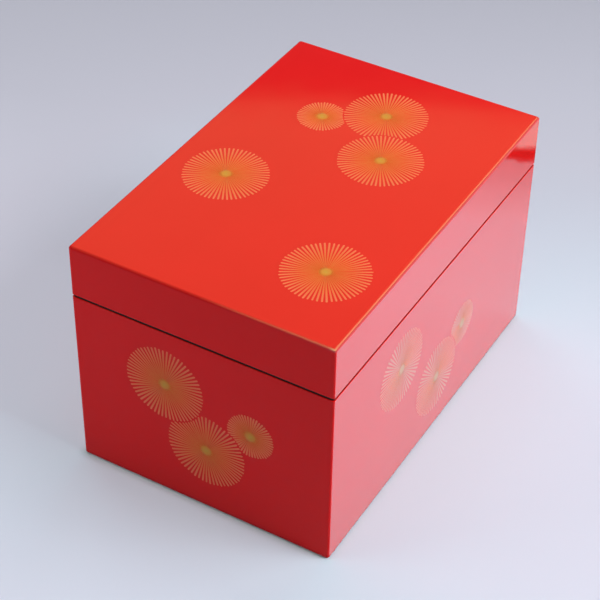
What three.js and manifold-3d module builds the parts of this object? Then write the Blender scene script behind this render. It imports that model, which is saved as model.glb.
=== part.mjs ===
// A lacquered wooden tea utensil box with a lift-off lid and a hanging inner tray.
//
// The body and the lid are each built from boards with finger joints at the corners, pegged
// through every finger, and a panel set in a rebate. A thin lining stands inside the body and
// rises past its rim as a lip, which the lid slips over. The tray hangs by its rim on that lip.
//
// Millimetres, +Z up. The origin is the centre of the footprint, on the surface the box stands on.
// +X runs along the long side, the long side at -Y is the front and the short side at -X the left.
import * as THREE from "three";
import { mergeVertices } from "three/addons/utils/BufferGeometryUtils.js";
import Module from "manifold-3d";

// Outside of the closed box
const boxLength = 210;
const boxWidth = 140;
const bodyHeight = 102.25;
const lidHeight = 28.75;

// Boards and panels
const bodyWall = 7;
const bottomThickness = 6;
const bottomRebate = 4; // how far the bottom panel reaches into each wall
const topThickness = 6;
const topRebate = 4; // how far the top panel reaches into each lid wall
const bodyFingers = 5; // fingers at each corner of the body, counted over its height
const lidFingers = 3;

// Lining and lip
const liningThickness = 3;
const lidClearance = 0.3; // between the lip's outside and the lid's walls
const lidHeadroom = 8.25; // from the tray's rim up to the underside of the lid's top

// Tray
const trayDepth = 22; // from the seat on the lip to the underside of the floor
const trayWall = 3;
const trayFloorThickness = 2.5;
const trayRimThickness = 2.5;
const trayClearance = 0.6; // between the tray's walls and the lining
const trayRimInset = 0.5; // the tray's rim ends this far inside the lip's outer face

// Pegs in the finger joints
const pegRadius = 1.25;
const pegClearance = 0.3; // between a peg and its hole
const pegCover = 1; // ground and lacquer over the peg's head
const pegGrip = 9; // length of peg in the end of the neighbouring board
const pegSides = 12;

// Rounded edges
const cornerRadius = 1; // the four upright edges
const bottomEdgeRadius = 2.5;
const topEdgeRadius = 1.5;
const seamEdgeRadius = 0.45; // on both sides of the line between lid and body
const trayEdgeRadius = 0.6; // the outer edges of the tray's rim
const edgeSegments = 5;

// Places worked out from the sizes above
const halfLength = boxLength / 2;
const halfWidth = boxWidth / 2;
const boxHeight = bodyHeight + lidHeight;
const lidWall = bodyWall - lidClearance;
const lidUnderside = boxHeight - topThickness;
const liningHalfLength = halfLength - bodyWall;
const liningHalfWidth = halfWidth - bodyWall;
const trayRimTop = lidUnderside - lidHeadroom;
const lipTop = trayRimTop - trayRimThickness;
const trayHalfLength = liningHalfLength - liningThickness - trayClearance;
const trayHalfWidth = liningHalfWidth - liningThickness - trayClearance;
const trayRimHalfLength = liningHalfLength - trayRimInset;
const trayRimHalfWidth = liningHalfWidth - trayRimInset;
const trayUnderside = lipTop - trayDepth;
const trayFloorTop = trayUnderside + trayFloorThickness;
const overshoot = 20; // how far a cutting block runs past what it cuts

const vermilion = { color: 0xe0301e, roughness: 0.15, metalness: 0 };
const blackLacquer = { color: 0x120e0e, roughness: 0.2, metalness: 0 };
const pegWood = { color: 0xc9a877, roughness: 0.7, metalness: 0 };

const wasm = await Module();
wasm.setup();

// Turns a closed three.js geometry into a solid that can be cut and joined.
function solidOf(geometry) {
  const bare = geometry.index ? geometry.toNonIndexed() : geometry;
  bare.deleteAttribute("normal");
  bare.deleteAttribute("uv");
  const merged = mergeVertices(bare, 1e-4);
  return new wasm.Manifold(
    new wasm.Mesh({
      numProp: 3,
      vertProperties: merged.attributes.position.array,
      triVerts: new Uint32Array(merged.index.array),
    }),
  );
}

function geometryOf(solid) {
  const mesh = solid.getMesh();
  const geometry = new THREE.BufferGeometry();
  geometry.setAttribute("position", new THREE.BufferAttribute(mesh.vertProperties, 3));
  geometry.setIndex(new THREE.BufferAttribute(mesh.triVerts, 1));
  return geometry;
}

// A rectangular block between two corners.
function block([x0, y0, z0], [x1, y1, z1]) {
  const geometry = new THREE.BoxGeometry(x1 - x0, y1 - y0, z1 - z0);
  geometry.translate((x0 + x1) / 2, (y0 + y1) / 2, (z0 + z1) / 2);
  return solidOf(geometry);
}

// A block centred on the Z axis, from its half sizes.
function centredBlock(halfX, halfY, z0, z1) {
  return block([-halfX, -halfY, z0], [halfX, halfY, z1]);
}

// A centred rectangle as an outline, with round corners if a radius is given.
function rectangle(halfX, halfY, radius = 0) {
  const shape = new THREE.Shape();
  if (radius === 0) {
    shape.moveTo(-halfX, -halfY).lineTo(halfX, -halfY).lineTo(halfX, halfY).lineTo(-halfX, halfY);
    shape.closePath();
    return shape;
  }
  const quarter = Math.PI / 2;
  [[1, -1], [1, 1], [-1, 1], [-1, -1]].forEach(([sx, sy], i) => {
    const start = (i - 1) * quarter;
    shape.absarc(sx * (halfX - radius), sy * (halfY - radius), radius, start, start + quarter, false);
  });
  return shape;
}

// A centred block whose top and bottom edges are rounded by the same radius.
function edgedBlock(halfX, halfY, z0, z1, radius) {
  const geometry = new THREE.ExtrudeGeometry(rectangle(halfX, halfY), {
    depth: z1 - z0 - 2 * radius,
    bevelThickness: radius,
    bevelSize: radius,
    bevelOffset: -radius,
    bevelSegments: edgeSegments,
  });
  geometry.translate(0, 0, z0 + radius);
  return solidOf(geometry);
}

// The finished outside that the boards of the body, the lid or the tray's rim are trimmed to.
function roundedOutside(halfX, halfY, z0, z1, bottomRadius, topRadius, uprightRadius) {
  const upright = new THREE.ExtrudeGeometry(rectangle(halfX, halfY, uprightRadius), {
    depth: z1 - z0 + 2 * overshoot,
    bevelEnabled: false,
    curveSegments: edgeSegments,
  });
  upright.translate(0, 0, z0 - overshoot);
  return solidOf(upright)
    .intersect(edgedBlock(halfX, halfY, z0, z1 + overshoot, bottomRadius))
    .intersect(edgedBlock(halfX, halfY, z0 - overshoot, z1, topRadius));
}

// A round rod along X or Y, from one end of its axis to the other.
function rod(axis, radius, from, to, across, z) {
  const geometry = new THREE.CylinderGeometry(radius, radius, Math.abs(to - from), pegSides);
  if (axis === "x") {
    geometry.rotateZ(Math.PI / 2);
    geometry.translate((from + to) / 2, across, z);
  } else {
    geometry.translate(across, (from + to) / 2, z);
  }
  return solidOf(geometry);
}

const group = new THREE.Group();

function addPiece(name, solid, finish) {
  const mesh = new THREE.Mesh(geometryOf(solid), new THREE.MeshStandardMaterial(finish));
  mesh.name = name;
  group.add(mesh);
}

// The heights between which a carcass's fingers lie, and the clear middle of each for its peg.
// The finger beside the panel runs on past it, so the panel's rebate is never split.
function fingerRows(count, low, high, clearLow, clearHigh) {
  const step = (clearHigh - clearLow) / count;
  return Array.from({ length: count }, (_, i) => ({
    z0: i === 0 ? low : clearLow + i * step,
    z1: i === count - 1 ? high : clearLow + (i + 1) * step,
    pegZ: clearLow + (i + 0.5) * step,
    longBoardHasIt: i % 2 === 0,
  }));
}

// Four boards with finger joints and their pegs. Even rows of fingers belong to the long boards.
function carcass({ prefix, wall, rows, low, high, outside, panel }) {
  const cutFingers = (board, isLong, sx, sy) => {
    for (const row of rows.filter((r) => r.longBoardHasIt !== isLong)) {
      const near = [halfLength - wall, halfWidth - wall];
      const far = [halfLength + overshoot, halfWidth + overshoot];
      const xs = [sx * near[0], sx * far[0]].sort((a, b) => a - b);
      const ys = [sy * near[1], sy * far[1]].sort((a, b) => a - b);
      const z0 = row.z0 === low ? low - overshoot : row.z0;
      const z1 = row.z1 === high ? high + overshoot : row.z1;
      board = board.subtract(block([xs[0], ys[0], z0], [xs[1], ys[1], z1]));
    }
    return board;
  };

  const boards = {
    front: block([-halfLength, -halfWidth, low], [halfLength, wall - halfWidth, high]),
    back: block([-halfLength, halfWidth - wall, low], [halfLength, halfWidth, high]),
    left: block([-halfLength, -halfWidth, low], [wall - halfLength, halfWidth, high]),
    right: block([halfLength - wall, -halfWidth, low], [halfLength, halfWidth, high]),
  };
  const signOf = { front: -1, back: 1, left: -1, right: 1 };
  for (const long of ["front", "back"]) {
    for (const short of ["left", "right"]) {
      boards[long] = cutFingers(boards[long], true, signOf[short], signOf[long]);
      boards[short] = cutFingers(boards[short], false, signOf[short], signOf[long]);
    }
  }
  for (const side of Object.keys(boards)) {
    boards[side] = boards[side].intersect(outside).subtract(panel);
  }

  for (const long of ["front", "back"]) {
    for (const short of ["left", "right"]) {
      rows.forEach((row, i) => {
        const axis = row.longBoardHasIt ? "y" : "x";
        const sign = row.longBoardHasIt ? signOf[long] : signOf[short];
        const face = row.longBoardHasIt ? halfWidth : halfLength;
        const across = row.longBoardHasIt
          ? signOf[short] * (halfLength - wall / 2)
          : signOf[long] * (halfWidth - wall / 2);
        const head = sign * (face - pegCover);
        const tip = sign * (face - wall - pegGrip);
        const holeHead = head + sign * pegClearance;
        const holeTip = tip - sign * pegClearance;
        const hole = rod(axis, pegRadius + pegClearance, holeTip, holeHead, across, row.pegZ);
        boards[long] = boards[long].subtract(hole);
        boards[short] = boards[short].subtract(hole);
        const name = `${prefix}_peg_${long}_${short}_${i + 1}`;
        addPiece(name, rod(axis, pegRadius, tip, head, across, row.pegZ), pegWood);
      });
    }
  }
  for (const [side, board] of Object.entries(boards)) {
    addPiece(`${prefix}_${side}`, board, vermilion);
  }
}

// Four straight strips round a rectangle: the long ones run through, the short ones fit between.
function addStrips(prefix, halfX, halfY, thicknessX, thicknessY, z0, z1, finish, outside) {
  const trim = (solid) => (outside ? solid.intersect(outside) : solid);
  const strips = {
    front: block([-halfX, -halfY, z0], [halfX, thicknessY - halfY, z1]),
    back: block([-halfX, halfY - thicknessY, z0], [halfX, halfY, z1]),
    left: block([-halfX, thicknessY - halfY, z0], [thicknessX - halfX, halfY - thicknessY, z1]),
    right: block([halfX - thicknessX, thicknessY - halfY, z0], [halfX, halfY - thicknessY, z1]),
  };
  for (const [side, strip] of Object.entries(strips)) {
    addPiece(`${prefix}_${side}`, trim(strip), finish);
  }
}

function addBody() {
  const outside = roundedOutside(
    halfLength, halfWidth, 0, bodyHeight, bottomEdgeRadius, seamEdgeRadius, cornerRadius,
  );
  const panel = centredBlock(
    liningHalfLength + bottomRebate, liningHalfWidth + bottomRebate, 0, bottomThickness,
  );
  carcass({
    prefix: "body",
    wall: bodyWall,
    rows: fingerRows(bodyFingers, 0, bodyHeight, bottomThickness, bodyHeight),
    low: 0,
    high: bodyHeight,
    outside,
    panel,
  });
  addPiece("body_bottom", panel.intersect(outside), vermilion);
}

function addLining() {
  addStrips(
    "lining", liningHalfLength, liningHalfWidth, liningThickness, liningThickness,
    bottomThickness, lipTop, blackLacquer,
  );
}

function addLid() {
  const outside = roundedOutside(
    halfLength, halfWidth, bodyHeight, boxHeight, seamEdgeRadius, topEdgeRadius, cornerRadius,
  );
  const panel = centredBlock(
    halfLength - lidWall + topRebate, halfWidth - lidWall + topRebate, lidUnderside, boxHeight,
  );
  carcass({
    prefix: "lid",
    wall: lidWall,
    rows: fingerRows(lidFingers, bodyHeight, boxHeight, bodyHeight, lidUnderside),
    low: bodyHeight,
    high: boxHeight,
    outside,
    panel,
  });
  addPiece("lid_top", panel.intersect(outside), vermilion);
}

function addTray() {
  addPiece(
    "tray_floor",
    centredBlock(trayHalfLength, trayHalfWidth, trayUnderside, trayFloorTop),
    blackLacquer,
  );
  addStrips(
    "tray", trayHalfLength, trayHalfWidth, trayWall, trayWall, trayFloorTop, lipTop, blackLacquer,
  );
  const rimOutside = roundedOutside(
    trayRimHalfLength, trayRimHalfWidth, lipTop, trayRimTop, trayEdgeRadius, trayEdgeRadius,
    trayEdgeRadius,
  );
  addStrips(
    "tray_rim", trayRimHalfLength, trayRimHalfWidth,
    trayRimHalfLength - trayHalfLength + trayWall, trayRimHalfWidth - trayHalfWidth + trayWall,
    lipTop, trayRimTop, blackLacquer, rimOutside,
  );
}

addBody();
addLining();
addLid();
addTray();

export default group;
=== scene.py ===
# Lacquered tea utensil box: the visible coats of lacquer, the gold roundels, the floor and light.
#
# The CAD frame: +Z up, +X along the long side, the front at -Y, the left side at -X.
# Shapes are given in mm and become metres in new_piece. Materials, lamps and camera use metres.
import math
import random
from collections import namedtuple

import bpy
from mathutils import Matrix, Vector


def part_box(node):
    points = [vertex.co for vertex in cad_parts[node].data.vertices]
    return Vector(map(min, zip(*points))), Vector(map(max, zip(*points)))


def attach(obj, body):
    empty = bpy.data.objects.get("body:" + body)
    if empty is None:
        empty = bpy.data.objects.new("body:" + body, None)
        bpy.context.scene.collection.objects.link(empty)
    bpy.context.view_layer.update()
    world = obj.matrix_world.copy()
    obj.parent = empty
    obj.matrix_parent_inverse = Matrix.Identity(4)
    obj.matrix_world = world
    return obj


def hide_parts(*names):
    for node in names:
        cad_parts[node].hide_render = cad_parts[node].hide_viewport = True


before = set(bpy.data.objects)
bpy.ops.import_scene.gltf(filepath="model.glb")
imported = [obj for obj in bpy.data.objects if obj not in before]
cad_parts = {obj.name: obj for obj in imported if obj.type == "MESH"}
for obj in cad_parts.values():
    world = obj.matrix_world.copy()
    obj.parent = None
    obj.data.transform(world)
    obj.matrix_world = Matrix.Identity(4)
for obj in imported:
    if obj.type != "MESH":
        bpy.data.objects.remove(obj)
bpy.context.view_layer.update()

MM = 0.001
X, Y, Z = Vector((1, 0, 0)), Vector((0, 1, 0)), Vector((0, 0, 1))

# Coats of lacquer, in mm
COATING = 0.4  # the lacquer stands this proud of the side boards
TOP_COATING = 0.25  # and this proud of the top panel
SKIN = 0.3  # the black on the floor of the body and inside the lid
SEAM_BELOW = 0.7  # the red of the body stops this far below the joint, and the lid's above it
SEAM_ABOVE = 0.65
LAND_EDGE = 0.45  # the black of the mating rims stops this far inside the outer faces
LAND_COAT = 0.08
LAND_GAP = 0.05  # left between the black of the two rims
LAP = 0.05  # the black reaches this far past the edge of the red

# Fillet radii seen from the side, in mm
BOTTOM_RADIUS = 1.1
TOP_RADIUS = 1.4
RIM_RADIUS = 0.2
LID_EDGE_RADIUS = 0.25
LID_INNER_EDGE_RADIUS = 0.3
LAND_RADIUS = 0.15
LAND_ROOT_RADIUS = 0.3
LIP_RADIUS = 0.7
FLOOR_RADIUS = 1.5
CEILING_RADIUS = 1.2
LID_LAND_ROOT_RADIUS = 0.2
LID_LAND_RADIUS = 0.1
TRAY_BOTTOM_RADIUS = 1.2
TRAY_RIM_ROOT_RADIUS = 0.3
TRAY_RIM_LOWER_RADIUS = 0.8
TRAY_RIM_UPPER_RADIUS = 1.0
TRAY_FLOOR_RADIUS = 2.0
FILLET_STEPS = 6
SHORTEST_SPAN = 1e-6

# Upright corners seen from above, in mm
CORNER_RADIUS = 1.0
FOOT_ROUNDER = 1.5  # added at the foot, where the bottom edge turns under
INNER_CORNER_RADIUS = 2.0
CORNER_STEPS = 6

# How far in the flat ends of the shells run before they close, in mm
BODY_RUN = 20
FLOOR_RUN = 25
WIDE_RUN = 30


# Places of the CAD boards, in mm

def box_of(node):
    low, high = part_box(node)
    return [v / MM for v in low], [v / MM for v in high]


body_low, body_high = box_of("body_front")
lid_low, lid_high = box_of("lid_top")
lining_low, lining_high = box_of("lining_front")
tray_low, tray_high = box_of("tray_floor")
tray_wall_low, tray_wall_high = box_of("tray_front")
tray_rim_low, tray_rim_high = box_of("tray_rim_front")

HALF_X = -box_of("body_left")[0][0] + COATING
HALF_Y = -body_low[1] + COATING
RIM_Z = body_high[2]
TOP_Z = lid_high[2] + TOP_COATING
LID_CEILING = lid_low[2]
LID_CAVITY_X = box_of("lid_right")[0][0]
LID_CAVITY_Y = box_of("lid_back")[0][1]
LINING_X = -box_of("lining_left")[0][0]
LINING_Y = -lining_low[1]
LINING_WALL = lining_high[1] - lining_low[1]
LINING_FOOT = lining_low[2]
LIP_Z = lining_high[2]
TRAY_X = tray_high[0]
TRAY_LOW = tray_low[2]
TRAY_FLOOR = tray_high[2]
TRAY_WALL = tray_wall_high[1] - tray_wall_low[1]
TRAY_RIM_X = box_of("tray_rim_right")[1][0]
TRAY_RIM_Y = box_of("tray_rim_back")[1][1]
TRAY_RIM_LOW = tray_rim_low[2]
TRAY_RIM_TOP = tray_rim_high[2]


# Materials

class Nodes:
    """Short calls for building a material's nodes."""

    def __init__(self, name, world=False):
        self.holder = (bpy.data.worlds if world else bpy.data.materials).new(name)
        self.output = "ShaderNodeOutputWorld" if world else "ShaderNodeOutputMaterial"
        self.holder.use_nodes = True
        self.tree = self.holder.node_tree
        self.tree.nodes.clear()

    def add(self, kind, settings=None, **inputs):
        node = self.tree.nodes.new(kind)
        for key, value in (settings or {}).items():
            setattr(node, key, value)
        for key, value in inputs.items():
            self.set(node, key.replace("_", " "), value)
        return node

    def set(self, node, key, value):
        socket = node.inputs[key]
        if isinstance(value, bpy.types.NodeSocket):
            self.tree.links.new(value, socket)
        else:
            socket.default_value = value

    def math(self, operation, a, b=None):
        node = self.add("ShaderNodeMath", {"operation": operation})
        self.set(node, 0, a)
        if b is not None:
            self.set(node, 1, b)
        return node.outputs[0]

    def mix(self, factor, a, b, blend="MIX"):
        """Mixes two colours, which are the node's sockets 6 and 7."""
        node = self.add("ShaderNodeMix", {"data_type": "RGBA", "blend_type": blend})
        self.set(node, 0, factor)
        self.set(node, 6, a)
        self.set(node, 7, b)
        return node.outputs[2]

    def multiply(self, a, b):
        return self.mix(1.0, a, b, "MULTIPLY")

    def mix_shaders(self, factor, a, b):
        node = self.add("ShaderNodeMixShader", Fac=factor)
        self.set(node, 1, a.outputs[0])
        self.set(node, 2, b.outputs[0])
        return node

    def ramp(self, value, stops, interpolation="LINEAR"):
        """A colour ramp. Each stop is its place and its red, green and blue."""
        node = self.add("ShaderNodeValToRGB", Fac=value)
        ramp = node.color_ramp
        ramp.interpolation = interpolation
        while len(ramp.elements) < len(stops):
            ramp.elements.new(0.5)
        for element, (place, colour) in zip(ramp.elements, stops):
            element.position = place
            element.color = (*colour, 1)
        return node.outputs["Color"]

    def greys(self, value, *stops, interpolation="LINEAR"):
        """A ramp through greys. Each stop is its place and how bright it is."""
        return self.ramp(value, [(place, (grey, grey, grey)) for place, grey in stops], interpolation)

    def noise(self, vector, scale, detail, roughness):
        node = self.add("ShaderNodeTexNoise", Vector=vector, Scale=scale, Detail=detail)
        self.set(node, "Roughness", roughness)
        return node.outputs["Fac"]

    def place(self):
        return self.add("ShaderNodeTexCoord").outputs["Object"]

    def split(self, vector):
        return self.add("ShaderNodeSeparateXYZ", Vector=vector).outputs

    def length(self, vector):
        node = self.add("ShaderNodeVectorMath", {"operation": "LENGTH"})
        self.set(node, 0, vector)
        return node.outputs["Value"]

    def bump(self, height, strength, distance):
        node = self.add("ShaderNodeBump", Strength=strength, Distance=distance, Height=height)
        return node.outputs["Normal"]

    def finish(self, shader):
        self.add(self.output, Surface=shader.outputs[0])
        return self.holder


# Where the gloss comes in, from 0 facing the surface to 1 along it, and how strongly it mirrors
GLOSS_START = 0.44
GLOSS_FULL = 0.66
RED_COAT_IOR = 2.4
BLACK_COAT_IOR = 1.6
GOLD_COAT_IOR = 5.0

# Darker on the lid's upper edges, and painted shade at the foot where the box meets the floor: how far
# each reaches in mm, and its tone
EDGE_REACH = 1.5
FOOT_SHADE_REACH = 2.8
EDGE_TONE = 0.85
FOOT_SHADE_TONE = 0.68

# How much of the edges' shine is left, by decimetres in front of the middle
EDGE_SHINE = [(0.0, 0.0), (0.2, 0.12), (0.66, 0.3), (0.695, 1.0)]
Y_TO_FORWARD = -10.0

POLISH_DEPTH = 0.00002
FINE_WAVE = 0.05  # share of the fine waves in the polish
LEAST_WIPED = 0.8  # times the roughness
MOST_WIPED = 1.5


def grazing_gloss(n):
    """The polish mirrors only where it is seen from the side."""
    facing = n.add("ShaderNodeLayerWeight", Blend=0.5).outputs["Facing"]
    return n.greys(facing, (GLOSS_START, 0.0), (GLOSS_FULL, 1.0), interpolation="EASE")


def polish_bump(n, place):
    """The last trace of the brush and of hand polishing: long, very shallow waves."""
    long_wave = n.noise(place, scale=22.0, detail=1.0, roughness=0.4)
    fine_wave = n.noise(place, scale=160.0, detail=2.0, roughness=0.5)
    height = n.math("ADD", long_wave, n.math("MULTIPLY", fine_wave, FINE_WAVE))
    return n.bump(height, strength=0.25, distance=POLISH_DEPTH)


def from_upper_edge(n, split):
    """How far a point is from the lid's upper edges: 0 on the edge, 1 at EDGE_REACH and beyond."""
    inset = []
    for axis, half in (("X", HALF_X), ("Y", HALF_Y)):
        inset.append(n.math("SUBTRACT", half * MM, n.math("ABSOLUTE", split[axis])))
    from_side = n.math("MINIMUM", *inset)
    from_top = n.math("ABSOLUTE", n.math("SUBTRACT", split["Z"], TOP_Z * MM))
    return n.math("DIVIDE", n.math("MAXIMUM", from_side, from_top), EDGE_REACH * MM)


def edge_gloss(n, split, from_edge):
    """The rounded upper edges shine from every side, most of all along the front, where hands rub them."""
    rounded = n.greys(from_edge, (0.35, 1.0), (0.95, 0.0))
    forward = n.math("MULTIPLY", split["Y"], Y_TO_FORWARD)
    return n.math("MULTIPLY", rounded, n.greys(forward, *EDGE_SHINE))


def edge_tone_and_foot_shade(n, split, from_edge):
    """A little darker on the lid's upper edges, and darker at the foot as painted shade where the box
    meets the floor.
    """
    from_foot = n.math("DIVIDE", split["Z"], FOOT_SHADE_REACH * MM)
    edge = n.greys(from_edge, (0.45, EDGE_TONE), (1.0, 1.0))
    # painted shade: the lowest few mm of the sides darker, where the box stands on the floor
    foot = n.greys(from_foot, (0.2, FOOT_SHADE_TONE), (1.0, 1.0))
    return n.multiply(edge, foot)


def lacquer(name, colour, deeper, roughness, coat_ior):
    """Polished lacquer, a little cloudy, with the marks of wiping in its sheen."""
    n = Nodes(name)
    place = n.place()
    split = n.split(place)
    from_edge = from_upper_edge(n, split)
    cloud = n.noise(place, scale=14.0, detail=3.0, roughness=0.55)
    base = n.mix(n.greys(cloud, (0.35, 0.0), (0.7, 1.0)), deeper, colour)
    wipe = n.noise(place, scale=45.0, detail=4.0, roughness=0.6)
    polish = polish_bump(n, place)
    shader = n.add(
        "ShaderNodeBsdfPrincipled",
        Base_Color=n.multiply(base, edge_tone_and_foot_shade(n, split, from_edge)),
        Roughness=n.greys(wipe, (0.4, roughness * LEAST_WIPED), (0.75, roughness * MOST_WIPED)),
        IOR=1.2, Normal=polish,
        Coat_Weight=n.math("MAXIMUM", grazing_gloss(n), edge_gloss(n, split, from_edge)),
        Coat_Roughness=0.03, Coat_IOR=coat_ior, Coat_Normal=polish,
    )
    return n.finish(shader)


# Gold from the middle of a roundel out: greener over the heart, then warmer where red shows through
HEART_GOLD = (0.56, 0.33, 0.050)
HEART_RIM_GOLD = (0.62, 0.28, 0.035)
ROOT_GOLD = (0.70, 0.145, 0.024)
RAY_GOLD = (0.77, 0.155, 0.038)
TIP_GOLD = (0.84, 0.195, 0.085)
RED_GROUND = (0.70, 0.07, 0.02, 1)
HEART_GOLD_REACH = 1.6  # mm
ROOT_GOLD_REACH = 4.0


def gold_powder(name, radius):
    """Sprinkled gold on a roundel of that radius, with the red ground between the grains."""
    n = Nodes(name)
    place = n.place()
    outward = n.math("DIVIDE", n.length(place), radius * MM)  # 0 in the middle, 1 at the tips
    gold = n.ramp(outward, [
        (0.0, HEART_GOLD),
        (HEART_GOLD_REACH / radius, HEART_RIM_GOLD),
        (ROOT_GOLD_REACH / radius, ROOT_GOLD),
        (0.55, RAY_GOLD),
        (1.0, TIP_GOLD),
    ])
    grain = n.noise(place, scale=2600.0, detail=2.0, roughness=0.7)
    shader = n.add(
        "ShaderNodeBsdfPrincipled",
        Base_Color=n.mix(n.greys(grain, (0.4, 0.0), (0.75, 0.3)), gold, RED_GROUND),
        Metallic=0.03, Roughness=n.greys(grain, (0.3, 0.34), (0.7, 0.5)), IOR=1.25,
        Normal=n.bump(grain, strength=0.3, distance=0.00002),
        Coat_Weight=grazing_gloss(n), Coat_Roughness=0.04, Coat_IOR=GOLD_COAT_IOR,
    )
    return n.finish(shader)


def split_wood(name):
    """Pale split wood for the pegs, with its grain lengthwise."""
    n = Nodes(name)
    stretched = n.add("ShaderNodeMapping", Scale=(140.0, 140.0, 900.0), Vector=n.place())
    grain = n.noise(stretched.outputs["Vector"], scale=1.0, detail=4.0, roughness=0.6)
    shader = n.add(
        "ShaderNodeBsdfPrincipled",
        Base_Color=n.ramp(grain, [(0.3, (0.42, 0.26, 0.13)), (0.7, (0.62, 0.43, 0.24))]),
        Roughness=n.greys(grain, (0.0, 0.55), (1.0, 0.8)),
        Normal=n.bump(grain, strength=0.4, distance=0.0001),
    )
    return n.finish(shader)


VERMILION = (0.77, 0.0068, 0.0085, 1)
DEEP_VERMILION = (0.74, 0.0062, 0.0075, 1)
BLACK = (0.0035, 0.0020, 0.0020, 1)
DEEP_BLACK = (0.0025, 0.0015, 0.0015, 1)

vermilion = lacquer(
    "vermilion_lacquer", VERMILION, DEEP_VERMILION, roughness=0.05, coat_ior=RED_COAT_IOR,
)
black = lacquer("black_lacquer", BLACK, DEEP_BLACK, roughness=0.08, coat_ior=BLACK_COAT_IOR)
wood = split_wood("split_wood")


# Geometry

def rounded_ring(half_x, half_y, radius, z):
    """Points round a rectangle with round corners, anticlockwise seen from above, with directions."""
    ring = []
    for quarter, (sx, sy) in enumerate([(1, 1), (-1, 1), (-1, -1), (1, -1)]):
        for step in range(CORNER_STEPS + 1):
            angle = (quarter + step / CORNER_STEPS) * math.pi / 2
            way = Vector((math.cos(angle), math.sin(angle), 0))
            corner = Vector((sx * (half_x - radius), sy * (half_y - radius), z))
            ring.append((corner + way * radius, way))
    return ring


def filleted_path(corners):
    """Turns corner points (x, z, fillet radius) into spans: start, its direction, end, its direction."""
    points = [Vector((x, z)) for x, z, _ in corners]
    spans = []
    last = points[0]
    for i in range(1, len(points)):
        way = (points[i] - points[i - 1]).normalized()
        radius = corners[i][2] if i < len(points) - 1 else 0
        if radius == 0:
            spans.append((last, way, points[i], way))
            last = points[i]
            continue
        following = (points[i + 1] - points[i]).normalized()
        turn = math.atan2(way.cross(following), way.dot(following))
        reach = radius * abs(math.tan(turn / 2))
        start = points[i] - way * reach
        if (start - last).length > SHORTEST_SPAN:
            spans.append((last, way, start, way))
        side = 1 if turn > 0 else -1
        centre = start + Vector((-way.y, way.x)) * side * radius
        arm = start - centre
        here, facing = start, way
        for step in range(1, FILLET_STEPS + 1):
            spin = Matrix.Rotation(turn * step / FILLET_STEPS, 2)
            there = centre + spin @ arm
            ahead = spin @ way
            spans.append((here, facing, there, ahead))
            here, facing = there, ahead
        last = here
    return spans


def new_piece(name, vertices, faces, normals, material):
    """A mesh from points in mm. Without normals its faces stay flat."""
    mesh = bpy.data.meshes.new(name)
    mesh.from_pydata([v * MM for v in vertices], [], faces)
    mesh.materials.append(material)
    if normals:
        for polygon in mesh.polygons:
            polygon.use_smooth = True
        mesh.normals_split_custom_set(normals)
    piece = bpy.data.objects.new(name, mesh)
    bpy.context.scene.collection.objects.link(piece)
    return piece


def coat(name, half_x, half_y, corners, material, plan_radius):
    """A closed shell lofted round the Z axis. Each corner is (inset, z, fillet radius), in mm.

    plan_radius gives the round of the upright corners from the inset and the height.
    """
    spans = filleted_path([(-inset, z, radius) for inset, z, radius in corners])
    vertices, faces, normals = [], [], []

    def add_ring(point):
        radius = plan_radius(-point.x, point.y)
        ring = rounded_ring(half_x + point.x, half_y + point.x, radius, point.y)
        first = len(vertices)
        vertices.extend(p for p, _ in ring)
        return first, [way for _, way in ring]

    first, ways = add_ring(spans[0][0])
    count = len(ways)
    faces.append([first + i for i in reversed(range(count))])
    normals.extend([Vector((0, 0, -spans[0][1].x))] * count)
    for start, way_a, end, way_b in spans:
        after, _ = add_ring(end)
        for i in range(count):
            j = (i + 1) % count
            faces.append([first + i, first + j, after + j, after + i])
            for k, way in ((i, way_a), (j, way_a), (j, way_b), (i, way_b)):
                normals.append((ways[k] * way.y + Vector((0, 0, -way.x))).normalized())
        first = after
    faces.append([first + i for i in range(count)])
    normals.extend([Vector((0, 0, -spans[-1][3].x))] * count)
    return new_piece(name, vertices, faces, normals, material)


# Coats over the boards and panels

BOARD_SIDES = ("front", "back", "left", "right")
LIP_INSET = HALF_X - LINING_X
INNER_FACE = LINING_WALL - 0.1  # from this inset on, it is the lining's inner face


def nodes_of(prefix, *more):
    return [f"{prefix}_{side}" for side in BOARD_SIDES] + list(more)


def body_corner(inset, z):
    """Small upright corners outside, a little rounder where the bottom edge turns under."""
    if inset > LIP_INSET / 2:
        return CORNER_RADIUS
    low = max(0.0, 1 - z / (2 * BOTTOM_RADIUS))
    return CORNER_RADIUS + FOOT_ROUNDER * low * low


def lining_corner(inset, z):
    """Rounder on the inner face of the lining than outside it."""
    return CORNER_RADIUS if inset < INNER_FACE else INNER_CORNER_RADIUS


def lid_corner(inset, z):
    return CORNER_RADIUS


def tray_corner(inset, z):
    return INNER_CORNER_RADIUS


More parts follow.
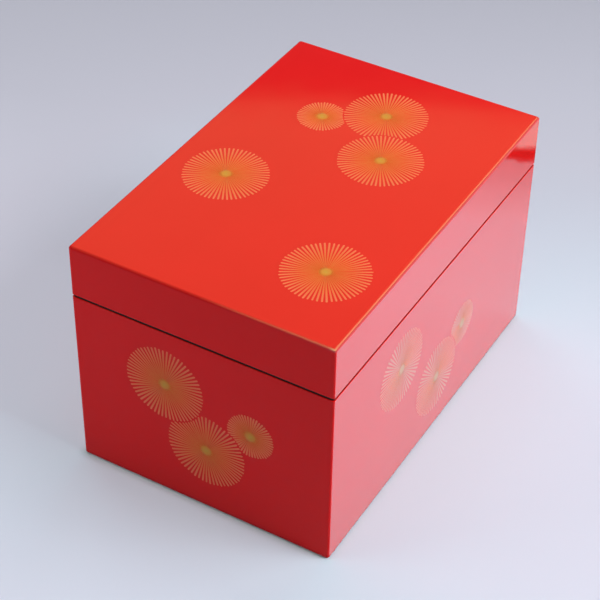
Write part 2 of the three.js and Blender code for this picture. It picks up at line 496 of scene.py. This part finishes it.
def dress_body():
    red_top = RIM_Z - SEAM_BELOW
    piece = coat("body_outside", HALF_X, HALF_Y, [
        (HALF_Y / 2, 0, 0),
        (0, 0, BOTTOM_RADIUS),
        (0, red_top, RIM_RADIUS),
        (LIP_INSET, red_top, 0),
        (LIP_INSET, LINING_FOOT, 0),
        (LIP_INSET + BODY_RUN, LINING_FOOT, 0),
    ], vermilion, body_corner)
    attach(piece, "box_body")
    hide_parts(*nodes_of("body", "body_bottom"))

    # The lining's black runs on over the rim that the lid sits on
    land = LAND_EDGE - LIP_INSET
    floor = LINING_FOOT + SKIN
    piece = coat("body_lining", LINING_X, LINING_Y, [
        (WIDE_RUN, LINING_FOOT, 0),
        (0, LINING_FOOT, 0),
        (0, red_top - LAP, 0),
        (land, red_top - LAP, 0),
        (land, RIM_Z + LAND_COAT, LAND_RADIUS),
        (0, RIM_Z + LAND_COAT, LAND_ROOT_RADIUS),
        (0, LIP_Z, LIP_RADIUS),
        (LINING_WALL, LIP_Z, LIP_RADIUS),
        (LINING_WALL, floor, FLOOR_RADIUS),
        (LINING_WALL + FLOOR_RUN, floor, 0),
    ], black, lining_corner)
    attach(piece, "box_body")
    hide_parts(*nodes_of("lining"))


def dress_lid():
    red_foot = RIM_Z + SEAM_ABOVE
    ceiling_back = LID_CEILING + SKIN
    wall_back = HALF_X - LID_CAVITY_X - SKIN
    piece = coat("lid_outside", HALF_X, HALF_Y, [
        (wall_back + SKIN + FLOOR_RUN, ceiling_back, 0),
        (wall_back, ceiling_back, 0),
        (wall_back, red_foot, LID_INNER_EDGE_RADIUS),
        (0, red_foot, LID_EDGE_RADIUS),
        (0, TOP_Z, TOP_RADIUS),
        (WIDE_RUN, TOP_Z, 0),
    ], vermilion, lid_corner)
    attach(piece, "lid")
    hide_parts(*nodes_of("lid", "lid_top"))

    # The black inside the lid runs on over its rim
    land = LAND_EDGE - wall_back
    land_foot = RIM_Z + LAND_COAT + LAND_GAP
    piece = coat("lid_inside", LID_CAVITY_X + SKIN, LID_CAVITY_Y + SKIN, [
        (WIDE_RUN, LID_CEILING, 0),
        (SKIN, LID_CEILING, CEILING_RADIUS),
        (SKIN, land_foot, LID_LAND_ROOT_RADIUS),
        (land, land_foot, LID_LAND_RADIUS),
        (land, red_foot + LAP, 0),
        (0, red_foot + LAP, 0),
        (0, ceiling_back, 0),
        (WIDE_RUN, ceiling_back, 0),
    ], black, lid_corner)
    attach(piece, "lid")


def dress_tray():
    under = TRAY_RIM_X - TRAY_X
    within = under + TRAY_WALL
    piece = coat("tray_coat", TRAY_RIM_X, TRAY_RIM_Y, [
        (under + FLOOR_RUN, TRAY_LOW, 0),
        (under, TRAY_LOW, TRAY_BOTTOM_RADIUS),
        (under, TRAY_RIM_LOW, TRAY_RIM_ROOT_RADIUS),
        (0, TRAY_RIM_LOW, TRAY_RIM_LOWER_RADIUS),
        (0, TRAY_RIM_TOP, TRAY_RIM_UPPER_RADIUS),
        (within, TRAY_RIM_TOP, TRAY_RIM_UPPER_RADIUS),
        (within, TRAY_FLOOR, TRAY_FLOOR_RADIUS),
        (within + FLOOR_RUN, TRAY_FLOOR, 0),
    ], black, tray_corner)
    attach(piece, "tray")
    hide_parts("tray_floor", *nodes_of("tray"), *nodes_of("tray_rim"))


dress_body()
dress_lid()
dress_tray()

for name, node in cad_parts.items():
    if "_peg_" in name:
        for slot in node.material_slots:
            slot.material = wood


# Gold roundels, in mm

Kind = namedtuple("Kind", "radius rays heart")
LARGE = Kind(radius=21.4, rays=60, heart=2.9)
SMALL = Kind(radius=12.7, rays=48, heart=2.8)
GOLD = {
    LARGE: gold_powder("gold_powder_large", LARGE.radius),
    SMALL: gold_powder("gold_powder_small", SMALL.radius),
}

RELIEF = 0.05  # height over the lacquer
SUNK = 0.03  # depth below its surface, so that no gap shows
BEVEL = 0.04
OVERLAP_GAP = 0.5  # bare lacquer round a roundel that covers another
SHORTEST_STRETCH = 0.8

# Rays fill this share of the room they have, and more towards the heart, where they run together
TIP_SHARE = 0.45
ROOT_SHARE_MORE = 0.43
TAPER_START = 20.5
TAPER_LENGTH = 15.0
WIDEST_RAY = 0.98
RAY_ROOT = 0.4  # how far inside the edge of the heart they start
RAY_STEP = 3
# Their blunt rounded ends: distance from the end, share of the width
RAY_END = [(0.45, 1.0), (0.12, 0.72), (0.0, 0.36)]

# Small differences between the rays: angle in radians, place of the tip, width
ANGLE_DRIFT = (-0.004, 0.004)
TIP_DRIFT = (-0.25, 0.2)
WIDTH_DRIFT = (0.93, 1.06)

# The heart's low ring round a dimple: radius, height, how far its lobes swell
HEART_SIDES = 48
HEART_LOBES = 12
HEART_BEVEL = 0.1
HEART_RING = [
    (2.6, RELIEF, 0.0),
    (2.4, 0.09, 0.05),
    (1.9, 0.12, 0.05),
    (1.4, 0.11, 0.05),
    (1.0, 0.08, 0.0),
    (0.5, 0.07, 0.0),
]


def ray_width(radius, rays):
    """Width of a ray: it narrows towards the heart, but less than the room for it does."""
    pitch = 2 * math.pi * radius / rays
    inward = max(0.0, min(1.0, (TAPER_START - radius) / TAPER_LENGTH))
    return min(WIDEST_RAY, pitch * (TIP_SHARE + ROOT_SHARE_MORE * inward))


def ray_mesh(vertices, faces, angle, start, end, rays, wide):
    """One raised bar with bevelled sides and blunt rounded ends, between two radii."""
    way = Vector((math.cos(angle), math.sin(angle), 0))
    across = Vector((-way.y, way.x, 0))
    steps = max(2, int((end - start) / RAY_STEP))
    stations = [(start + (end - start) * i / steps, 1.0) for i in range(steps)]
    stations += [(end - back, share) for back, share in RAY_END]
    first = len(vertices)
    for radius, share in stations:
        half = ray_width(radius, rays) / 2 * share * wide
        flat = half - min(BEVEL, half / 2)
        for offset, z in ((-half, -SUNK), (-flat, RELIEF), (flat, RELIEF), (half, -SUNK)):
            vertices.append(way * radius + across * offset + Z * z)
    for s in range(len(stations) - 1):
        a, b = first + 4 * s, first + 4 * (s + 1)
        for k in range(4):
            m = (k + 1) % 4
            faces.append([a + k, b + k, b + m, a + m])
    faces.append([first, first + 1, first + 2, first + 3])
    last = first + 4 * (len(stations) - 1)
    faces.append([last + 3, last + 2, last + 1, last])


def heart_mesh(vertices, faces, radius):
    """The gold middle: a flat disc with a low ring round a dimple."""
    profile = [(radius, -SUNK, 0.0), (radius - HEART_BEVEL, RELIEF, 0.0), *HEART_RING]
    rings = []
    for ring_radius, z, lobe in profile:
        rings.append(range(len(vertices), len(vertices) + HEART_SIDES))
        for i in range(HEART_SIDES):
            angle = 2 * math.pi * i / HEART_SIDES
            swollen = ring_radius * (1 + lobe * math.cos(HEART_LOBES * angle))
            vertices.append(Vector((swollen * math.cos(angle), swollen * math.sin(angle), z)))
    faces.append(list(reversed(rings[0])))
    for low, high in zip(rings, rings[1:]):
        for i in range(HEART_SIDES):
            j = (i + 1) % HEART_SIDES
            faces.append([low[i], low[j], high[j], high[i]])
    faces.append(list(rings[-1]))


def clear_stretches(angle, start, end, covers):
    """The parts of a ray that no roundel in front of it covers."""
    way = Vector((math.cos(angle), math.sin(angle)))
    parts = [(start, end)]
    for x, y, radius in covers:
        centre = Vector((x, y))
        along = centre.dot(way)
        off = abs(centre.cross(way))
        reach = radius + OVERLAP_GAP
        if off >= reach:
            continue
        half = math.sqrt(reach * reach - off * off)
        covered_from, covered_to = along - half, along + half
        left = []
        for a, b in parts:
            if covered_from > a:
                left.append((a, min(b, covered_from)))
            if covered_to < b:
                left.append((max(a, covered_to), b))
        parts = left
    return [(a, b) for a, b in parts if b - a > SHORTEST_STRETCH]


def roundel(name, body, kind, origin, right, out, place, covers):
    """One roundel on a face. right and out are the face's own axes, place is on them.

    covers are the circles that lie in front of it: x, y and radius, from its own middle.
    """
    draw = random.Random(name)
    turn = draw.uniform(0, 2 * math.pi / kind.rays)
    vertices, faces = [], []
    for i in range(kind.rays):
        angle = turn + 2 * math.pi * i / kind.rays + draw.uniform(*ANGLE_DRIFT)
        tip = kind.radius + draw.uniform(*TIP_DRIFT)
        wide = draw.uniform(*WIDTH_DRIFT)
        for start, end in clear_stretches(angle, kind.heart - RAY_ROOT, tip, covers):
            ray_mesh(vertices, faces, angle, start, end, kind.rays, wide)
    heart_mesh(vertices, faces, kind.heart)
    piece = new_piece(name, vertices, faces, None, GOLD[kind])
    up = out.cross(right)
    axes = Matrix((right, up, out)).transposed().to_4x4()
    centre = (origin + right * place[0] + up * place[1]) * MM
    piece.matrix_world = Matrix.Translation(centre) @ axes
    bpy.context.view_layer.update()
    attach(piece, body)


def decorate(face, body, origin, right, out, entries):
    """Lays a face's roundels, each without the parts that the ones in front of it cover."""
    circles = {key: (*place, kind.radius) for key, kind, place, _ in entries}
    for key, kind, place, hidden_by in entries:
        covers = []
        for x, y, radius in [circles[other] for other in hidden_by]:
            covers.append((x - place[0], y - place[1], radius))
        roundel(f"roundel_{face}_{key}", body, kind, origin, right, out, place, covers)


# On each face: name, kind, place on the face, and the roundels in front of it.
# The top's axes are +X and +Y, a side's are its rightward direction seen from outside, and +Z.
TOP_ROUNDELS = [
    ("left", LARGE, (-60.5, -39.9), ()),
    ("back", LARGE, (-19.6, 38.8), ()),
    ("middle", LARGE, (28.9, -19.8), ()),
    ("right", LARGE, (64.3, -4.0), ("middle",)),
    ("small", SMALL, (47.6, 23.7), ("right", "middle")),
]
LEFT_ROUNDELS = [
    ("upper", LARGE, (-19.7, 69.6), ()),
    ("lower", LARGE, (2.7, 37.9), ("upper",)),
    ("small", SMALL, (27.2, 58.9), ("lower", "upper")),
]
FRONT_ROUNDELS = [
    ("upper", LARGE, (-38.4, 69.5), ()),
    ("lower", LARGE, (2.3, 33.9), ()),
    ("small", SMALL, (28.9, 49.8), ("lower",)),
]
BACK_ROUNDELS = [
    ("upper", LARGE, (34.0, 66.0), ()),
    ("lower", LARGE, (-8.5, 41.0), ()),
    ("small", SMALL, (-35.0, 56.0), ("lower",)),
]
RIGHT_ROUNDELS = [
    ("upper", LARGE, (17.0, 66.5), ()),
    ("lower", LARGE, (-14.0, 43.0), ("upper",)),
    ("small", SMALL, (12.5, 31.5), ("lower", "upper")),
]

decorate("top", "lid", Z * TOP_Z, X, Z, TOP_ROUNDELS)
decorate("left", "box_body", -X * HALF_X, -Y, -X, LEFT_ROUNDELS)
decorate("front", "box_body", -Y * HALF_Y, X, -Y, FRONT_ROUNDELS)
decorate("back", "box_body", Y * HALF_Y, -X, Y, BACK_ROUNDELS)
decorate("right", "box_body", X * HALF_X, Y, X, RIGHT_ROUNDELS)


# Floor, in metres

BACKDROP = (0.60, 0.60, 0.66, 1)
PAPER = (0.705, 0.72, 0.815, 1)
NEAR_PAPER = (0.635, 0.79, 0.885, 1)  # cooler, which takes back the red that the box throws on it
NEAR_REACH = 0.16
PALE = (0.73, 0.74, 0.90, 1)
FLOOR_GLOW = 0.27  # share of the floor's paleness that doesn't depend on the light
# painted shade: the glow is left out this close to the box, which darkens a narrow band of floor at its
# foot
CONTACT_SHADE_REACH = 0.0015  # there is none in the narrow dark at the foot of the box
# painted shade: the paper darker towards the right and a little towards the back, where the lamps' light
# falls off
PAINTED_FLOOR_FALLOFF = [(0.05, 1.0), (0.22, 0.81), (0.5, 0.67)]  # greyer towards the right
FALLOFF_SKEW = 0.25
FAR = [(0.09, 0.0), (0.25, 1.0)]  # in tens of metres, where the background takes over
FLOOR_HALF = 12.0
FLOOR_DROP = 0.0001

# What the polished front mirrors at the right, painted as a reflection that only glossy rays see: the
# paper's shaded end, a dark gap, the bright room
MIRRORED_PAPER = (0.70, 0.70, 0.80, 1)
MARGIN_START = 0.175
MARGIN = [
    (MARGIN_START, (1.0, 1.0, 1.0)),
    (0.235, (0.60, 0.58, 0.56)),
    (0.2405, (0.60, 0.58, 0.56)),
    (0.2425, (0.42, 0.03, 0.02)),
    (0.257, (0.42, 0.03, 0.02)),
    (0.261, (1.1, 0.85, 0.70)),
    (0.34, (1.1, 0.95, 0.85)),
]
MARGIN_PIVOT = 0.130  # the margin turns about this line in front of the box
MARGIN_SKEW = -0.4
MARGIN_RAGGED = 0.016
IN_FRONT = [(0.06, 0.0), (0.085, 1.0)]  # it lies only in front of the box, not beside it


def outside_box(n, split):
    """How far a point of the floor is from the foot of the box."""
    squares = []
    for axis, half in (("X", HALF_X), ("Y", HALF_Y)):
        away = n.math("SUBTRACT", n.math("ABSOLUTE", split[axis]), half * MM)
        gap = n.math("MAXIMUM", away, 0.0)
        squares.append(n.math("MULTIPLY", gap, gap))
    return n.math("SQRT", n.math("ADD", *squares))


def lit_paper(n, place, split, path):
    """Plain paper, whose paleness depends on the light only in part."""
    gap = outside_box(n, split)
    rightward = n.math("ADD", n.math("MULTIPLY", split["Y"], FALLOFF_SKEW), split["X"])
    # painted shade: the light's fall-off across the floor, in both the paper's colour and its glow
    painted_falloff = n.greys(rightward, *PAINTED_FLOOR_FALLOFF)
    near = n.greys(gap, (0.0, 1.0), (NEAR_REACH, 0.0))
    fibre = n.noise(place, scale=900.0, detail=3.0, roughness=0.6)
    paper = n.add(
        "ShaderNodeBsdfPrincipled",
        Base_Color=n.multiply(n.mix(near, PAPER, NEAR_PAPER), painted_falloff),
        Roughness=0.9, Specular_IOR_Level=0.1,
        Normal=n.bump(fibre, strength=0.15, distance=0.0002),
    )
    pale = n.add("ShaderNodeEmission", Color=n.multiply(PALE, painted_falloff))
    seen = n.math("MAXIMUM", path["Is Camera Ray"], path["Is Glossy Ray"])
    # painted shade: no glow in the narrow band at the foot of the box
    beyond_contact_shade = n.greys(gap, (0.0, 0.0), (CONTACT_SHADE_REACH, 1.0))
    glow = n.math("MULTIPLY", n.math("MULTIPLY", seen, beyond_contact_shade), FLOOR_GLOW)
    return n.mix_shaders(glow, paper, pale)


def mirrored_margin(n, place, split, path):
    """A painted reflection: the margin that only the polish sees, and where it is."""
    skew = n.math("MULTIPLY", n.math("ADD", split["Y"], MARGIN_PIVOT), MARGIN_SKEW)
    uneven = n.noise(place, scale=70.0, detail=3.0, roughness=0.6)
    ragged = n.math("MULTIPLY", n.math("SUBTRACT", uneven, 0.5), MARGIN_RAGGED)
    along = n.math("ADD", n.math("ADD", split["X"], skew), ragged)
    margin = n.add("ShaderNodeEmission", Color=n.multiply(MIRRORED_PAPER, n.ramp(along, MARGIN)))
    in_front = n.greys(n.math("MULTIPLY", split["Y"], -1.0), *IN_FRONT)
    strip = n.math("MULTIPLY", path["Is Glossy Ray"], in_front)
    return margin, n.math("MULTIPLY", strip, n.math("GREATER_THAN", along, MARGIN_START))


def floor_material():
    n = Nodes("floor_paper")
    place = n.place()
    split = n.split(place)
    path = n.add("ShaderNodeLightPath").outputs
    margin, margin_share = mirrored_margin(n, place, split, path)
    floor = n.mix_shaders(margin_share, lit_paper(n, place, split, path), margin)
    # Far off, the floor runs into the background without a line
    far = n.greys(n.math("MULTIPLY", n.length(place), 0.1), *FAR)
    backdrop = n.add("ShaderNodeEmission", Color=BACKDROP)
    return n.finish(n.mix_shaders(n.math("MULTIPLY", far, path["Is Camera Ray"]), floor, backdrop))


def add_floor():
    signs = ((-1, -1), (1, -1), (1, 1), (-1, 1))
    corners = [Vector((sx * FLOOR_HALF, sy * FLOOR_HALF, -FLOOR_DROP)) for sx, sy in signs]
    mesh = bpy.data.meshes.new("floor")
    mesh.from_pydata(corners, [], [[0, 1, 2, 3]])
    mesh.materials.append(floor_material())
    floor = bpy.data.objects.new("floor", mesh)
    bpy.context.scene.collection.objects.link(floor)


# Light. It comes from above, and the lacquer mirrors a pale ceiling over darker walls.

# By height, from 0 level to 1 straight up
WORLD_LIGHT = [(0.49, (0.012, 0.012, 0.012)), (0.62, (0.19, 0.187, 0.187))]
MIRRORED_ROOM = [
    (0.02, (0.62, 0.60, 0.62)),
    (0.42, (0.30, 0.27, 0.26)),
    (0.545, (0.30, 0.26, 0.24)),
    (0.552, (2.2, 2.15, 1.05)),
]

# Name, azimuth and elevation in degrees, distance, size, power, colour. Azimuth 0 is in front.
LAMPS = [
    ("front_window", 3, 44, 1.2, (0.45, 0.45), 7.2, (0.99, 0.99, 1.02)),
    ("right_window", 30, 35, 1.2, (0.5, 0.5), 4.1, (1.0, 1.0, 1.02)),
    ("front_low", 12, 22, 1.1, (0.7, 0.7), 2.9, (1.0, 1.0, 1.02)),
    ("back_window", 150, 35, 1.3, (0.7, 0.7), 2.9, (1.0, 0.99, 0.98)),
    ("ceiling", 95, 68, 0.8, (0.4, 0.4), 1.1, (1.0, 1.0, 1.02)),
    ("left_window", 226, 28, 0.6, (0.3, 0.2), 0.80, (1.0, 0.99, 0.98)),
]
LAMP_TARGET = Vector((0, 0, 0.05))


def add_world():
    n = Nodes("studio", world=True)
    height = n.split(n.add("ShaderNodeTexCoord").outputs["Generated"])["Z"]
    path = n.add("ShaderNodeLightPath").outputs
    light = n.ramp(height, WORLD_LIGHT, "EASE")
    room = n.mix(path["Is Glossy Ray"], light, n.ramp(height, MIRRORED_ROOM))
    seen = n.mix(path["Is Camera Ray"], room, BACKDROP)
    bpy.context.scene.world = n.finish(n.add("ShaderNodeBackground", Color=seen, Strength=1.0))


def add_lamp(name, azimuth, elevation, distance, size, power, colour):
    lamp = bpy.data.lights.new(name, "AREA")
    lamp.shape = "RECTANGLE"
    lamp.size, lamp.size_y = size
    lamp.energy = power
    lamp.color = colour
    turn, rise = math.radians(azimuth), math.radians(elevation)
    way = Vector((math.sin(turn) * math.cos(rise), -math.cos(turn) * math.cos(rise), math.sin(rise)))
    aim = (-way).to_track_quat("-Z", "Y").to_matrix().to_4x4()
    holder = bpy.data.objects.new(name, lamp)
    holder.matrix_world = Matrix.Translation(LAMP_TARGET + way * distance) @ aim
    holder.visible_glossy = False  # the lacquer mirrors the world's ceiling and walls instead
    bpy.context.scene.collection.objects.link(holder)


# Camera, at the photograph's viewing angle

CAMERA_PLACE = Vector((-0.618906, -0.343129, 0.639468))
CAMERA_FORWARD = Vector((0.67077413, 0.37997335, -0.63693196)).normalized()
CAMERA_UP = Vector((0.5443652, 0.33102859, 0.77077013))
CAMERA_LENS = 108.36


def add_camera():
    camera = bpy.data.cameras.new("camera")
    camera.lens = CAMERA_LENS
    camera.sensor_width = 36.0
    camera.clip_start = 0.01
    camera.clip_end = 100.0
    forward = CAMERA_FORWARD
    up = (CAMERA_UP - forward * CAMERA_UP.dot(forward)).normalized()
    turn = Matrix((forward.cross(up), up, -forward)).transposed().to_4x4()
    holder = bpy.data.objects.new("camera", camera)
    holder.matrix_world = Matrix.Translation(CAMERA_PLACE) @ turn
    bpy.context.scene.collection.objects.link(holder)
    bpy.context.scene.camera = holder


add_floor()
add_world()
for lamp in LAMPS:
    add_lamp(*lamp)
add_camera()
bpy.context.scene.view_settings.view_transform = "Standard"
